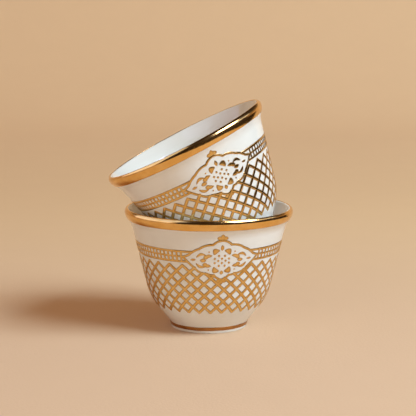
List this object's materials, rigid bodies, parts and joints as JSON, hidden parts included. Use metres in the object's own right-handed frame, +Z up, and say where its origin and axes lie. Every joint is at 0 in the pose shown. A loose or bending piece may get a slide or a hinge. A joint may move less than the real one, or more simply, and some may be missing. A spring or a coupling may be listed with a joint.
{
  "type": "arabic coffee cup",
  "caption": "Stacked handleless porcelain coffee cups with flared gilded rims, gold trellis, band and cartouche; the upper cup leans in the lower one and lifts out.",
  "frame": {"origin": "centre of the lower cup's foot ring, on the plane it stands on", "axes": "+Z up along the lower cup's axis; -Y is the front, where the cartouches show; the upper cup's mouth leans towards -X"},
  "size_m": [0.0686, 0.0676, 0.0858],
  "materials": {
    "porcelain": "gloss",
    "gold": "polished"
  },
  "bodies": {
    "lower_cup": {"lower_body": "porcelain", "lower_rim_gilding": "gold", "lower_border_band": "gold", "lower_cartouche_frame": "gold", "lower_trellis": "gold", "lower_foot_line": "gold"},
    "upper_cup": {"upper_body": "porcelain", "upper_rim_gilding": "gold", "upper_border_band": "gold", "upper_cartouche_frame": "gold", "upper_trellis": "gold", "upper_foot_line": "gold"}
  },
  "joints": [
    {"name": "upper_cup_lift", "type": "slide", "parent": "lower_cup", "child": "upper_cup", "axis": [0, 0, 1], "range_m": [0, 0.05]}
  ]
}
